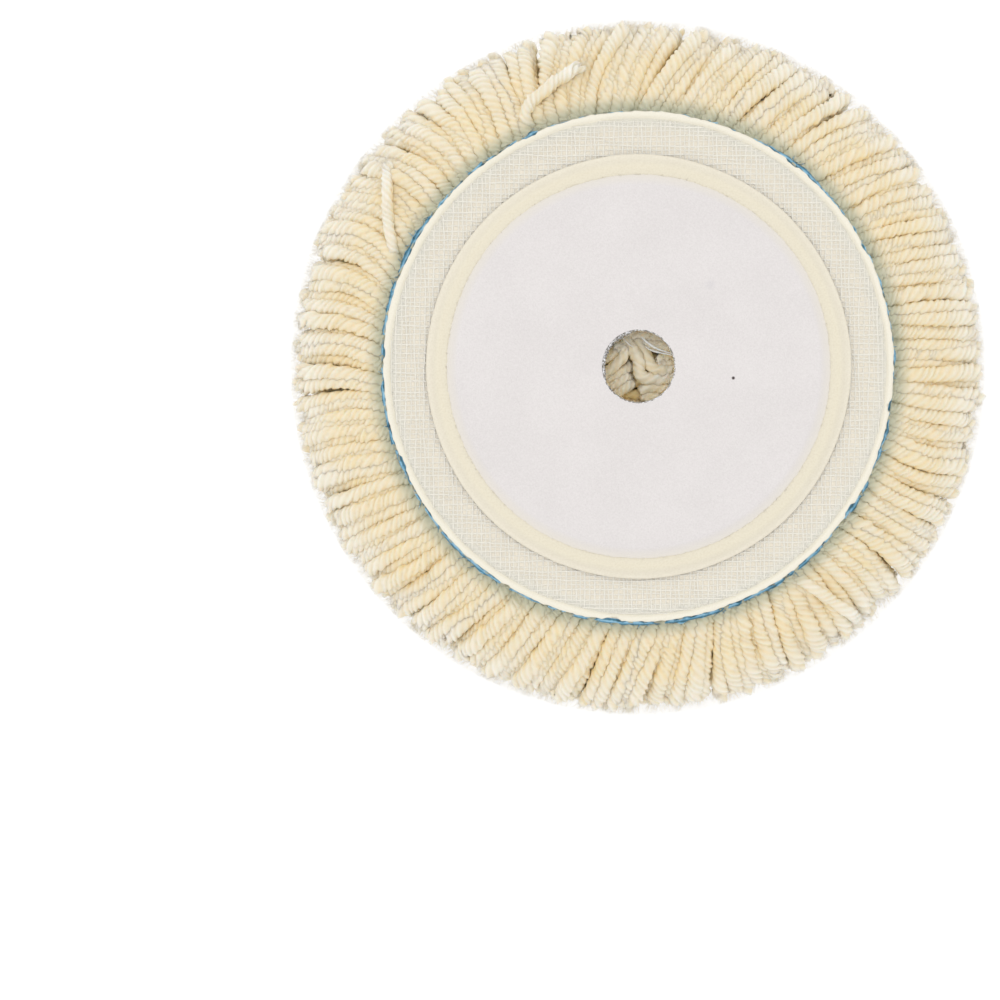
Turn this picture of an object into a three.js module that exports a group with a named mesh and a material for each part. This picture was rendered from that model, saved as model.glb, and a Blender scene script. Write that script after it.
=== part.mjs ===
// An 8 inch wool polishing pad, hook-and-loop mounted, lying on its wool face.
// Millimetres, +Z up. The origin is on the supporting surface, under the middle of the pad.
// From the top down: loop disc, adhesive, interface disc, stiffener film, scrim, latex coat,
// woven primary backing, and the wool pile as concentric rows of tufts.
import * as THREE from 'three';

// Driving dimensions
const PAD_RADIUS = 102.5;
const PILE_HEIGHT = 31;
const HOLE_RADIUS = 11;

const BACKING_RADIUS = 77;
const BACKING_THICKNESS = 1;
const LATEX_RADIUS = 76.5;
const LATEX_THICKNESS = 0.8;
const RIM_WIDTH = 1.3;
const RIM_HEIGHT = 1.4;
const FITTING_GAP = 0.3;
const SCRIM_THICKNESS = 0.6;
const FILM_THICKNESS = 0.6;
const FILM_HOLE_RADIUS = 9.6;
const FILM_HOLE_SHIFT = -1.2;
const INTERFACE_RADIUS = 63.8;
const INTERFACE_TOP_RADIUS = 61;
const INTERFACE_THICKNESS = 2.6;
const INTERFACE_LAND = 0.8;
const ADHESIVE_RADIUS = 57.2;
const ADHESIVE_THICKNESS = 0.3;
const LOOP_RADIUS = 57.6;
const LOOP_THICKNESS = 1.5;
const LOOP_EDGE_ROUND = 0.5;

const ROW_COUNT = 14;
const ROW_GAP = 0.3;
const FACE_RADIUS = 78;
const FACE_CENTRE_GAP = 1.2;
const HOLE_DISH = 1.5;
const FRINGE_MIDDLE_HEIGHT = 14;
const FRINGE_TOP_ANGLE = Math.PI / 7;
const FRINGE_SHOULDER = 11;
const SHOULDER_HEIGHT_SHARE = 0.92;
const FIRST_FRINGE_ROW = 11;

const DISC_SEGMENTS = 64;
const ROW_SEGMENTS = 40;
const ARC_STEPS = 48;

// Heights of the layers' lower faces
const BACKING_BASE = PILE_HEIGHT;
const LATEX_BASE = BACKING_BASE + BACKING_THICKNESS;
const SCRIM_BASE = LATEX_BASE + LATEX_THICKNESS;
const FILM_BASE = SCRIM_BASE + SCRIM_THICKNESS;
const INTERFACE_BASE = FILM_BASE + FILM_THICKNESS;
const ADHESIVE_BASE = INTERFACE_BASE + INTERFACE_THICKNESS;
const LOOP_BASE = ADHESIVE_BASE + ADHESIVE_THICKNESS;
const RIM_INNER_RADIUS = LATEX_RADIUS - RIM_WIDTH;
const SCRIM_RADIUS = RIM_INNER_RADIUS - FITTING_GAP;

const group = new THREE.Group();

function material(color, roughness) {
  return new THREE.MeshStandardMaterial({ color, roughness, metalness: 0 });
}

const woolYarn = material(0xf1e8d0, 0.95);
const loopFabric = material(0xe9e6e6, 0.9);
const adhesive = material(0xf3ead0, 0.5);
const interfaceFoam = material(0xf3ecd5, 0.7);
const clearFilm = material(0xf2f3f0, 0.15);
const scrimThread = material(0xf4f0e4, 0.5);
const latex = material(0xefe9d6, 0.6);
const wovenBacking = material(0x3f7fa5, 0.6);

function addPiece(name, geometry, pieceMaterial) {
  const mesh = new THREE.Mesh(geometry, pieceMaterial);
  mesh.name = name;
  group.add(mesh);
  return mesh;
}

// A ring turned about Z from a closed outline of [radius, height] points, anticlockwise
// when the radius runs to the right and the height runs up.
function turnedRing(outline, segments) {
  const points = [...outline, outline[0]].map(([r, z]) => new THREE.Vector2(r, z));
  const geometry = new THREE.LatheGeometry(points, segments);
  geometry.rotateX(Math.PI / 2);
  return geometry;
}

function flatRing(innerRadius, outerRadius, base, thickness) {
  const top = base + thickness;
  return turnedRing([
    [innerRadius, base],
    [outerRadius, base],
    [outerRadius, top],
    [innerRadius, top],
  ], DISC_SEGMENTS);
}

function loopDisc() {
  const top = LOOP_BASE + LOOP_THICKNESS;
  const geometry = turnedRing([
    [HOLE_RADIUS, LOOP_BASE],
    [LOOP_RADIUS, LOOP_BASE],
    [LOOP_RADIUS, top - LOOP_EDGE_ROUND],
    [LOOP_RADIUS - LOOP_EDGE_ROUND, top],
    [HOLE_RADIUS, top],
  ], DISC_SEGMENTS);
  addPiece('loop_disc', geometry, loopFabric);
}

function loopAdhesive() {
  const geometry = flatRing(HOLE_RADIUS, ADHESIVE_RADIUS, ADHESIVE_BASE, ADHESIVE_THICKNESS);
  addPiece('loop_adhesive', geometry, adhesive);
}

// The disc that spaces the loop fabric off the scrim: a low land, then a bevelled shoulder.
function interfaceDisc() {
  const top = INTERFACE_BASE + INTERFACE_THICKNESS;
  const geometry = turnedRing([
    [HOLE_RADIUS, INTERFACE_BASE],
    [INTERFACE_RADIUS, INTERFACE_BASE],
    [INTERFACE_RADIUS, INTERFACE_BASE + INTERFACE_LAND],
    [INTERFACE_TOP_RADIUS, top],
    [HOLE_RADIUS, top],
  ], DISC_SEGMENTS);
  addPiece('interface_disc', geometry, interfaceFoam);
}

// A clear sheet whose own hole is smaller and off centre, so a crescent of it shows in the hole.
function stiffenerFilm() {
  const outline = new THREE.Shape();
  outline.absarc(0, 0, SCRIM_RADIUS, 0, 2 * Math.PI);
  const hole = new THREE.Path();
  hole.absarc(FILM_HOLE_SHIFT, FILM_HOLE_SHIFT, FILM_HOLE_RADIUS, 0, 2 * Math.PI);
  outline.holes.push(hole);
  const geometry = new THREE.ExtrudeGeometry(outline, {
    depth: FILM_THICKNESS,
    bevelEnabled: false,
    curveSegments: DISC_SEGMENTS / 2,
  });
  addPiece('stiffener_film', geometry, clearFilm).position.z = FILM_BASE;
}

function scrim() {
  addPiece('scrim', flatRing(HOLE_RADIUS, SCRIM_RADIUS, SCRIM_BASE, SCRIM_THICKNESS), scrimThread);
}

// The cream coat that locks the tufts in, with a raised rim round the scrim and film.
function latexCoat() {
  const geometry = turnedRing([
    [HOLE_RADIUS, LATEX_BASE],
    [LATEX_RADIUS, LATEX_BASE],
    [LATEX_RADIUS, SCRIM_BASE + RIM_HEIGHT],
    [RIM_INNER_RADIUS, SCRIM_BASE + RIM_HEIGHT],
    [RIM_INNER_RADIUS, SCRIM_BASE],
    [HOLE_RADIUS, SCRIM_BASE],
  ], DISC_SEGMENTS);
  addPiece('latex_coat', geometry, latex);
}

function primaryBacking() {
  const geometry = flatRing(HOLE_RADIUS, BACKING_RADIUS, BACKING_BASE, BACKING_THICKNESS);
  addPiece('primary_backing', geometry, wovenBacking);
}

// The side of the pile, seen as a section: flat on the face, then up round the fringe.
function faceOutline() {
  const outline = new THREE.Path();
  outline.moveTo(FACE_CENTRE_GAP, 0);
  outline.lineTo(FACE_RADIUS, 0);
  outline.absellipse(
    FACE_RADIUS, FRINGE_MIDDLE_HEIGHT,
    PAD_RADIUS - FACE_RADIUS, FRINGE_MIDDLE_HEIGHT,
    -Math.PI / 2, FRINGE_TOP_ANGLE,
  );
  return outline;
}

// The innermost boundary: the first row lies over the hole and closes it, bar a small dimple.
function holeBoundary() {
  return [
    new THREE.Vector2(HOLE_RADIUS, PILE_HEIGHT),
    new THREE.Vector2(FACE_CENTRE_GAP, PILE_HEIGHT - HOLE_DISH),
    new THREE.Vector2(FACE_CENTRE_GAP, 0),
  ];
}

// One boundary between rows, from its place on the backing to its place on the pile's outline.
// Outer boundaries arch out into the fringe, and the innermost lean towards the middle.
function rowBoundary(rootShare, tipShare, outline, steps) {
  const rootRadius = HOLE_RADIUS + rootShare * (BACKING_RADIUS - HOLE_RADIUS);
  const root = new THREE.Vector2(rootRadius, PILE_HEIGHT);
  const tip = outline.getPointAt(tipShare);
  const reach = (tip.x - rootRadius) / (PAD_RADIUS - BACKING_RADIUS);
  const lean = THREE.MathUtils.clamp(reach, 0, 1);
  const bend = new THREE.Vector2(
    rootRadius + reach * FRINGE_SHOULDER,
    PILE_HEIGHT * THREE.MathUtils.lerp(0.5, SHOULDER_HEIGHT_SHARE, lean * lean),
  );
  return new THREE.QuadraticBezierCurve(root, bend, tip).getPoints(steps);
}

function pileRow(row, outline) {
  const steps = row >= FIRST_FRINGE_ROW ? 4 : 2;
  const gapShare = ROW_GAP / outline.getLength();
  const inner = row === 1
    ? holeBoundary()
    : rowBoundary((row - 1) / ROW_COUNT, (row - 1) / ROW_COUNT, outline, steps);
  const outer = rowBoundary(
    row / ROW_COUNT - ROW_GAP / (BACKING_RADIUS - HOLE_RADIUS),
    Math.min(1, row / ROW_COUNT - gapShare),
    outline, steps,
  );
  const section = [...inner, ...outer.reverse()].map((p) => [p.x, p.y]);
  addPiece(`pile_row_${String(row).padStart(2, '0')}`, turnedRing(section, ROW_SEGMENTS), woolYarn);
}

loopDisc();
loopAdhesive();
interfaceDisc();
stiffenerFilm();
scrim();
latexCoat();
primaryBacking();

const outline = faceOutline();
outline.arcLengthDivisions = ARC_STEPS;
for (let row = 1; row <= ROW_COUNT; row += 1) {
  pileRow(row, outline);
}

export default group;
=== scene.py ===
import math

import bpy
import numpy as np
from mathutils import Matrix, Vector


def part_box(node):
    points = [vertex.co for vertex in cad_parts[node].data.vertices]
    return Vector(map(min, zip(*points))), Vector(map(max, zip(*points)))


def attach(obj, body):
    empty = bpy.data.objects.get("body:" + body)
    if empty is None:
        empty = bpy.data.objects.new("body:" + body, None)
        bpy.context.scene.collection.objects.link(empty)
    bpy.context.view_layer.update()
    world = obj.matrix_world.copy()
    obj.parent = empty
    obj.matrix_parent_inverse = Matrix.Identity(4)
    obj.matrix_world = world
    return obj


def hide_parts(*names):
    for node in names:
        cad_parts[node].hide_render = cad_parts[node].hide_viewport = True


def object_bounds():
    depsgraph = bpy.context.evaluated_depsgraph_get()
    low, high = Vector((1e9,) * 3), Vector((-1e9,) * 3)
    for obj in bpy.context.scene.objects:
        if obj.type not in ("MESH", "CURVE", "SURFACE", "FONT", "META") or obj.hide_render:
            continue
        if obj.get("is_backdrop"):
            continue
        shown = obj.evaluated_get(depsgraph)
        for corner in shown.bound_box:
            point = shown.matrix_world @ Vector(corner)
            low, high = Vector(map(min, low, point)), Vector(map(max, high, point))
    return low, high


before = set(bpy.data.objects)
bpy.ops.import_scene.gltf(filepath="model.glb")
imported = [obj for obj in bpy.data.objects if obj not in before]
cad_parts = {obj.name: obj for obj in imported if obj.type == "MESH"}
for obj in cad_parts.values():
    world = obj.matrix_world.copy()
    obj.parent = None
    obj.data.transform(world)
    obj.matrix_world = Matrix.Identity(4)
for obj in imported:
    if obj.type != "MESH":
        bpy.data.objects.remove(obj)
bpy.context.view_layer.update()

seeded = np.random.default_rng
MM = 0.001
TURN = 2 * math.pi

# The pad's layers, in millimetres, as the CAD boxes give them.


def layer(node):
    """A layer's outer radius, underside and top."""
    low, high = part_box(node)
    return high.x / MM, low.z / MM, high.z / MM


BACKING_RADIUS, BACKING_LOW, BACKING_TOP = layer("primary_backing")
LATEX_RADIUS, LATEX_LOW, RIM_TOP = layer("latex_coat")
SCRIM_RADIUS, SCRIM_LOW, _ = layer("scrim")
_, FILM_LOW, FILM_TOP = layer("stiffener_film")
INTERFACE_RADIUS, INTERFACE_LOW, INTERFACE_TOP = layer("interface_disc")
ADHESIVE_RADIUS, ADHESIVE_LOW, ADHESIVE_TOP = layer("loop_adhesive")
LOOP_RADIUS, LOOP_LOW, LOOP_TOP = layer("loop_disc")
WOOL_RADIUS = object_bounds()[1].x / MM
HOLE_RADIUS = 11.0
ANGLES = np.linspace(0, TURN, 480, endpoint=False)
FLOOR_GAP = 0.02

# Wool pile.
ROW_COUNT = 14
STITCH_SPACING = 3.7
FACE_RADIUS = 78.0
FRINGE_MIDDLE = 14.0
FRINGE_TOP_ANGLE = math.pi / 7
PLIES = 4
PITCH = 8.6
LINE_POINTS = 40
SIDE_FIBRES = 45
TUFT_FIBRES = 150
FIBRE_SIDES = 3
FIBRE_REACH = WOOL_RADIUS + 2.3
CREST_RADIUS = 76.0
CREST_HEIGHT = 12.0


def smooth(t):
    t = np.clip(t, 0, 1)
    return t * t * (3 - 2 * t)


def ripple(rng, waves, size):
    """A smooth wavy value round the disc, made of a few waves of the given counts."""
    value = np.zeros_like(ANGLES)
    for count in waves:
        value += rng.uniform(0.5, 1) * np.sin(count * ANGLES + rng.uniform(0, TURN))
    return size * value / math.sqrt(len(waves))


def around(angles, table, column=1):
    """A value from a table of angles in degrees, taken all the way round the pad."""
    return np.interp(np.degrees(angles), table[:, 0], table[:, column], period=360)


def packed(*axes):
    """Coordinates, spread to one shape, as an array of points."""
    return np.stack(np.broadcast_arrays(*axes), axis=-1)


def polar(radii, angles, heights):
    """Points from radii, angles and heights."""
    return packed(radii * np.cos(angles), radii * np.sin(angles), heights)


def rim_way(angles):
    """Unit vectors along the rim, anticlockwise."""
    return packed(-np.sin(angles), np.cos(angles), 0)


# Mesh helpers. Points are in millimetres here and in metres in Blender.


def add_object(name, data):
    made = bpy.data.objects.new(name, data)
    bpy.context.scene.collection.objects.link(made)
    return made


def add_mesh(name, points, quads, triangles, material, attributes=()):
    """A mesh object from arrays, smooth shaded, with its point attributes."""
    mesh = bpy.data.meshes.new(name)
    corners = np.concatenate([quads.ravel(), triangles.ravel()]).astype(np.int32)
    starts = np.concatenate(
        [np.arange(len(quads)) * 4, len(quads) * 4 + np.arange(len(triangles)) * 3]
    )
    mesh.vertices.add(len(points))
    mesh.vertices.foreach_set("co", (points * MM).astype(np.float32).ravel())
    mesh.loops.add(len(corners))
    mesh.loops.foreach_set("vertex_index", corners)
    mesh.polygons.add(len(starts))
    mesh.polygons.foreach_set("loop_start", starts.astype(np.int32))
    mesh.update(calc_edges=True)
    mesh.shade_smooth()
    for key, value in attributes:
        kind, field = ("FLOAT_VECTOR", "vector") if value.ndim == 2 else ("FLOAT", "value")
        attribute = mesh.attributes.new(key, kind, "POINT")
        attribute.data.foreach_set(field, value.astype(np.float32).ravel())
    mesh.materials.append(material)
    return add_object(name, mesh)


def ring_quads(rings, sides, closed=False):
    """Quads of rings x sides points, closed round the sides and, if asked, the rings."""
    steps = rings if closed else rings - 1
    ring, side = np.meshgrid(np.arange(steps), np.arange(sides), indexing="ij")
    after = (side + 1) % sides
    here, there = ring * sides, (ring + 1) % rings * sides
    corners = [here + side, here + after, there + after, there + side]
    return np.stack(corners, axis=-1).reshape(-1, 4)


def lines_along(points):
    """Unit tangents and the distance from the start, along each line of points."""
    steps = np.diff(points, axis=1)
    lengths = np.linalg.norm(steps, axis=2)
    along = np.concatenate(
        [np.zeros((len(points), 1)), np.cumsum(lengths, axis=1)], axis=1
    )
    tangents = np.gradient(points, axis=1)
    tangents /= np.linalg.norm(tangents, axis=2, keepdims=True) + 1e-12
    return tangents, along


def resampled(points, at):
    """Each line of points at its own distances along it."""
    _, along = lines_along(points)
    made = np.empty((*at.shape, 3))
    for line in range(len(points)):
        for axis in range(3):
            made[line, :, axis] = np.interp(at[line], along[line], points[line, :, axis])
    return made


def tube_points(centres, tangents, sideways, radii, turn, profile):
    """Points of tubes round lines: each ring is the profile, turned by its angle."""
    sides = profile.shape[-1]
    first = sideways - tangents * (sideways * tangents).sum(2, keepdims=True)
    first /= np.linalg.norm(first, axis=2, keepdims=True) + 1e-12
    second = np.cross(tangents, first)
    angles = turn[:, :, None] + np.arange(sides) * TURN / sides
    reach = radii[:, :, None] * profile
    return (
        centres[:, :, None, :]
        + (reach * np.cos(angles))[..., None] * first[:, :, None, :]
        + (reach * np.sin(angles))[..., None] * second[:, :, None, :]
    )


def closed_tubes(points, ends):
    """Flat arrays of points, quads and end triangles for many capped tubes."""
    count, rings, sides, _ = points.shape
    size = rings * sides + 2
    flat = np.concatenate([points.reshape(count, -1, 3), ends], axis=1).reshape(-1, 3)
    offsets = (np.arange(count) * size)[:, None, None]
    quads = (ring_quads(rings, sides)[None] + offsets).reshape(-1, 4)
    side = np.arange(sides)
    after = (side + 1) % sides
    last = (rings - 1) * sides
    first_cap = np.stack([np.full(sides, size - 2), after, side], axis=-1)
    last_cap = np.stack([np.full(sides, size - 1), last + side, last + after], axis=-1)
    triangles = np.concatenate([first_cap, last_cap])[None] + offsets
    return flat, quads, triangles.reshape(-1, 3)


def stacked(parts):
    """Several (points, quads, triangles) as one."""
    offset = 0
    quads, triangles = [], []
    for points, quad, triangle in parts:
        quads.append(quad + offset)
        triangles.append(triangle + offset)
        offset += len(points)
    points = np.concatenate([part[0] for part in parts])
    return points, np.concatenate(quads), np.concatenate(triangles)


def line_tubes(lines, sideways, radii, profile):
    """Untwisted tubes round lines, capped at their ends."""
    tangents, _ = lines_along(lines)
    points = tube_points(lines, tangents, sideways, radii, np.zeros_like(radii), profile)
    return closed_tubes(points, lines[:, [0, -1]])


def bind(piece, slot, *nodes):
    """Rides the piece on the root, in place of its CAD nodes. slot is not used."""
    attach(piece, "root")
    for node in nodes:
        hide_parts(node)
    return piece


# Yarn: a plied strand, drawn along a line, with a rounded cut end.


def crease_share(points, centres, tangents, radii):
    """How far each point lies down a yarn's sides, seen from outside the pile; the mask for the
    painted shade in the creases between yarns.
    """
    centre_r = np.hypot(centres[..., 0], centres[..., 1]) + 1e-9
    away_r = np.maximum(centre_r - CREST_RADIUS, 0)
    away_z = centres[..., 2] - CREST_HEIGHT
    x, y = (away_r * centres[..., axis] / centre_r for axis in (0, 1))
    outward = packed(x, y, away_z)
    outward /= np.linalg.norm(outward, axis=-1, keepdims=True) + 1e-9
    along = (outward * tangents).sum(-1) ** 2
    offset = ((points - centres[:, :, None]) * outward[:, :, None]).sum(-1) / radii[:, :, None]
    return smooth((0.66 - offset) / 0.66) * (1 - along)[:, :, None]


def with_ends(values):
    """Values at each yarn's rings of points, then at its two ends."""
    ends = np.stack([values[:, 0, 0], values[:, -1, 0]], axis=1)
    return np.concatenate([values.reshape(len(values), -1, values.shape[-1]), ends], axis=1)


# deep darkens a whole yarn as painted shade for one lying deep in the pile; below nought it
# lightens it as painted light.
def yarn_arrays(rng, lines, radius, sides, body_shares, twist_from, tip_swell, pale, deep=0):
    """Arrays for many yarns. Each is a strand of four plies that twist to the left."""
    count = len(lines)
    _, along = lines_along(lines)
    length = along[:, -1]
    tip_radius = radius * tip_swell
    dome = np.radians([20, 40, 58, 74])
    cut = 0.65 * tip_radius[:, None]
    body = (length[:, None] - cut) * body_shares[None]
    cap = length[:, None] - cut + cut * np.sin(dome)
    at = np.concatenate([body, cap], axis=1)
    share = at / length[:, None]
    centres = resampled(lines, at)
    tangents, _ = lines_along(centres)
    swell = 1 + (tip_swell - 1) * smooth((share - 0.45) / 0.5)
    radii = radius[:, None] * swell
    radii[:, len(body_shares) :] *= np.cos(dome)
    radii *= 1 + 0.05 * rng.standard_normal(radii.shape)

    ply = np.arange(sides) * PLIES / sides + (0.5 if sides == 3 * PLIES else 0)
    nearest_ply = np.floor(ply + 0.5).astype(int) % PLIES
    ridge = 0.5 + 0.5 * np.cos(TURN * ply)
    fullness = 1 + 0.07 * rng.standard_normal((count, 1, PLIES))
    profile = 0.84 + 0.16 * ridge**0.7
    profile = profile * fullness[:, :, nearest_ply]
    opening = smooth((share - 0.84) / 0.14)[:, :, None]
    profile = profile + opening * (0.05 - 0.16 * (1 - ridge))
    profile = profile * (1 + 0.02 * rng.standard_normal((count, at.shape[1], sides)))

    start = np.arctan2(lines[:, 0, 1], lines[:, 0, 0])
    sideways = rim_way(start)
    pitch = PITCH * rng.uniform(0.86, 1.14, count)
    twisted = np.maximum(0, at - twist_from * length[:, None])
    turn = rng.uniform(0, TURN, count)[:, None] - TURN * twisted / pitch[:, None]
    turn = turn + 0.45 * np.sin(0.5 * at + rng.uniform(0, TURN, count)[:, None])
    points = tube_points(centres, tangents, sideways[:, None, :], radii, turn, profile)
    uneven = 0.28 * rng.standard_normal((count, 1, PLIES))
    lobes = 0.5 * (ridge - 0.7) + uneven[:, :, nearest_ply]
    lobes = opening * lobes * tip_radius[:, None, None]
    points = points + tangents[:, :, None] * lobes[..., None]
    tips = resampled(lines, (length - 0.38 * tip_radius)[:, None])
    ends = np.concatenate([lines[:, :1], tips], axis=1)

    angles = np.arange(sides) * TURN / sides
    offsets = rng.uniform(0, 400, count)[:, None, None]
    fibre = polar(radius[:, None, None], angles, at[:, :, None] + offsets)
    upright_yarn = twist_from > 0.3
    # tip and pale_tip paint the cut ends paler: painted light.
    tip_from, tip_length = (0.84, 0.14) if upright_yarn else (0.56, 0.42)
    tip = smooth((share - tip_from) / tip_length)[:, :, None]
    # crease: painted shade down the yarns' sides, eased off towards the cut ends.
    crease = crease_share(points, centres, tangents, radii) * (1 - 0.5 * tip**3)
    pale_tip, groove = (0.26, 0.12) if upright_yarn else (0.29, 0.2)
    # shade paints light and shade into the wool's colour: painted shade in the ply valleys, the
    # creases and on deep yarns, painted light at the cut ends.
    shade = 0.47 + 0.15 * ridge + pale_tip * tip - 0.32 * crease - deep
    # More painted shade along the upright yarns' shafts down in the pile, and between the opened
    # plies at the cut ends.
    shade = shade - 0.14 * upright_yarn * (1 - tip) - groove * opening * (1 - ridge)
    tone = rng.uniform(-1, 1, count) + pale
    near = np.hypot(points[..., 0], points[..., 1])
    shadow = (1 - smooth((near - 77.5) / 5.5)) * (twist_from == 0)
    per_yarn = at.shape[1] * sides + 2
    flat, quads, triangles = closed_tubes(points, ends)
    flat[:, 2] = np.maximum(flat[:, 2], FLOOR_GAP)
    return {
        "points": flat, "quads": quads, "triangles": triangles,
        "fibre": with_ends(fibre).reshape(-1, 3),
        "shade": with_ends(shade[..., None]).ravel(),
        "tone": np.repeat(tone, per_yarn),
        "shadow": with_ends(shadow[..., None]).ravel(),
    }


def joined(parts):
    """Several sets of yarn arrays as one."""
    keys = ("points", "quads", "triangles")
    made = dict(zip(keys, stacked([[part[key] for key in keys] for part in parts])))
    for key in ("fibre", "shade", "tone", "shadow"):
        made[key] = np.concatenate([part[key] for part in parts])
    return made


def arrays_mesh(name, arrays, material, *keys):
    """A mesh from a set of yarn arrays, the named ones as its point attributes."""
    shape = arrays["points"], arrays["quads"], arrays["triangles"]
    return add_mesh(name, *shape, material, [(key, arrays[key]) for key in keys])


def outline():
    """The pile's outer face as (r, z) points, from the centre to the fringe's top."""
    angles = np.linspace(-math.pi / 2, FRINGE_TOP_ANGLE, 120)
    reach = FACE_RADIUS + (WOOL_RADIUS - FACE_RADIUS) * np.cos(angles)
    edge = packed(reach, FRINGE_MIDDLE * (1 + np.sin(angles)))
    return np.concatenate([packed(np.linspace(0, FACE_RADIUS, 120)[:-1], 0), edge])


OUTLINE = outline()
OUTLINE_ALONG = np.concatenate(
    [[0], np.cumsum(np.linalg.norm(np.diff(OUTLINE, axis=0), axis=1))]
)


def outline_at(share):
    at = share * OUTLINE_ALONG[-1]
    return (
        np.interp(at, OUTLINE_ALONG, OUTLINE[:, 0]),
        np.interp(at, OUTLINE_ALONG, OUTLINE[:, 1]),
    )


def root_at(share):
    return HOLE_RADIUS + (BACKING_RADIUS - HOLE_RADIUS) * share


# How far the fringe leans from the radius, in degrees towards anticlockwise,
# at its start and at its end, for angles round the pad.
LEAN_TABLE = np.array([
    (-90, -20, -15), (-76, -22, -18), (-66, -15, 5), (-57, -13, -11), (-49, 0, -5),
    (-42, 15, -20), (-30, 0, 0), (-20, -12, 18), (0, 0, 0), (20, -8, -15),
    (35, -8, -22), (50, -14, -28), (65, -15, -25), (78, -25, -30), (92, -22, -32),
    (105, -10, -38), (112, 0, -10), (122, -15, 8), (138, -8, 28), (150, -30, 30),
    (165, -30, 20), (180, -20, 10), (200, -14, 4), (225, -6, -12), (250, -14, -20),
], float)


def leaned(angles, radii, strength):
    """The angle of each point of the fringe lines, after their lean."""
    start, end = around(angles, LEAN_TABLE), around(angles, LEAN_TABLE, 2)
    share = smooth((radii - BACKING_RADIUS) / (WOOL_RADIUS - BACKING_RADIUS))
    lean = start[:, None] + (end - start)[:, None] * share
    slope = np.tan(np.radians(lean)) / radii * strength
    outside = radii > BACKING_RADIUS - 1
    steps = np.diff(radii, axis=1) * slope[:, 1:] * outside[:, 1:]
    drift = np.concatenate([np.zeros((len(radii), 1)), np.cumsum(steps, axis=1)], axis=1)
    return angles[:, None] + drift


def bezier(corners, samples):
    """Points of cubic curves. Corners are four arrays of (r, z)."""
    u = np.linspace(0, 1, samples)[None, :, None]
    a, b, c, d = (corner[:, None, :] for corner in corners)
    return a * (1 - u) ** 3 + b * 3 * u * (1 - u) ** 2 + c * 3 * u**2 * (1 - u) + d * u**3


def row_lines(rng, row, leg):
    """Centre lines of one leg of a row's stitches, from the backing to the cut end."""
    middle = (row - 0.5) / ROW_COUNT
    count = round(TURN * root_at(middle) / STITCH_SPACING)
    spread = rng.uniform(-1, 1, (6, count))
    side = -1 if leg == 0 else 1
    root = root_at(middle + side * 0.12 / ROW_COUNT) + 0.25 * spread[0]
    tip_r, tip_z = outline_at(middle + side * 0.25 / ROW_COUNT + 0.012 * spread[1])
    tip_r = tip_r + 1.3 * spread[2] - 1.1
    tip_z = tip_z + 1.3 + 1.4 * spread[3]
    lean = np.clip((tip_r - root) / 25.5, 0, 1)
    low = BACKING_LOW
    shoulder = low * (0.5 + 0.36 * lean**2)
    angles = (np.arange(count) + 0.5 * leg) * TURN / count + row * 0.7
    angles = angles + (0.28 if row == ROW_COUNT else 0.16) * spread[4] * TURN / count
    if row == ROW_COUNT:
        bends = fringe_corners(rng, leg, count)
    else:
        first = packed(root + 0.04 * (tip_r - root), low - 4)
        bends = first, packed(root + 11 * lean, shoulder), packed(tip_r, tip_z)
    profile = bezier((packed(root, low), *bends), LINE_POINTS)
    if row >= ROW_COUNT - 2:
        strength = (0.5, 0.75, 1)[row - ROW_COUNT + 2]
        turned = leaned(angles, profile[..., 0], strength)
        along = np.linspace(0, 1, LINE_POINTS)[None]
        waves = rng.uniform(0, TURN, (2, count, 1))
        turned = turned + 0.007 * along * np.sin(TURN * along * 0.9 + waves[0])
        clumps = 0.009 * np.sin(19 * angles + 1.3) + 0.007 * np.sin(31 * angles + 0.4)
        turned = turned + clumps[:, None] * along**2
        profile[..., 1] += 0.45 * smooth(along * 2) * np.sin(TURN * along * 1.1 + waves[1])
    else:
        share = np.linspace(0, 1, LINE_POINTS)[None] ** 2
        drift = 2.7 * spread[5] / np.maximum(tip_r, 6)
        turned = angles[:, None] + drift[:, None] * share
    return polar(profile[..., 0], turned, profile[..., 1])


# The fringe's yarns by leg: where one comes out (r, z), then the radius, height
# and their wander at its shoulder, and the same at its tip.
FRINGE_LEGS = (
    ((74.6, 26.9), (87, 1.5, 28.1, 0.7), (102.2, 15, 1.6)),
    ((75.5, 27.6), (88, 1.8, 28.8, 0.4), (102.4, 17, 2)),
)


def fringe_corners(rng, leg, count):
    """The last row's yarns come out flat under the backing and then bow down."""
    wander = rng.uniform(-1, 1, (4, count))
    (out_r, out_z), (bow_r, wide, bow_z, high), (tip_r, tip_z, fall) = FRINGE_LEGS[leg]
    first = packed(out_r + 0.3 * wander[0], out_z)
    second = packed(bow_r + wide * wander[1], bow_z + high * wander[2])
    tip = packed(tip_r + 1.2 * wander[3], tip_z + fall * wander[1])
    return first, second, tip


# Materials. Every one is procedural, and `tree` is its node tree.


def new_material(name):
    material = bpy.data.materials.new(name)
    material.use_nodes = True
    return material, material.node_tree


def give(tree, socket, value):
    """Sets a socket's number or colour, or joins another node's output to it."""
    if isinstance(value, (int, float)):
        socket.default_value = value
    elif isinstance(value, tuple):
        socket.default_value = (*value, 1)
    else:
        tree.links.new(value, socket)


def calc(tree, operation, *values, clamp=False):
    node = tree.nodes.new("ShaderNodeMath")
    node.operation = operation
    node.use_clamp = clamp
    for socket, value in zip(node.inputs, values):
        give(tree, socket, value)
    return node.outputs[0]


def mixed(tree, factor, first, second, blend="MIX"):
    mix = tree.nodes.new("ShaderNodeMix")
    mix.data_type = "RGBA"
    mix.blend_type = blend
    for index, value in ((0, factor), (6, first), (7, second)):
        give(tree, mix.inputs[index], value)
    return mix.outputs[2]


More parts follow.
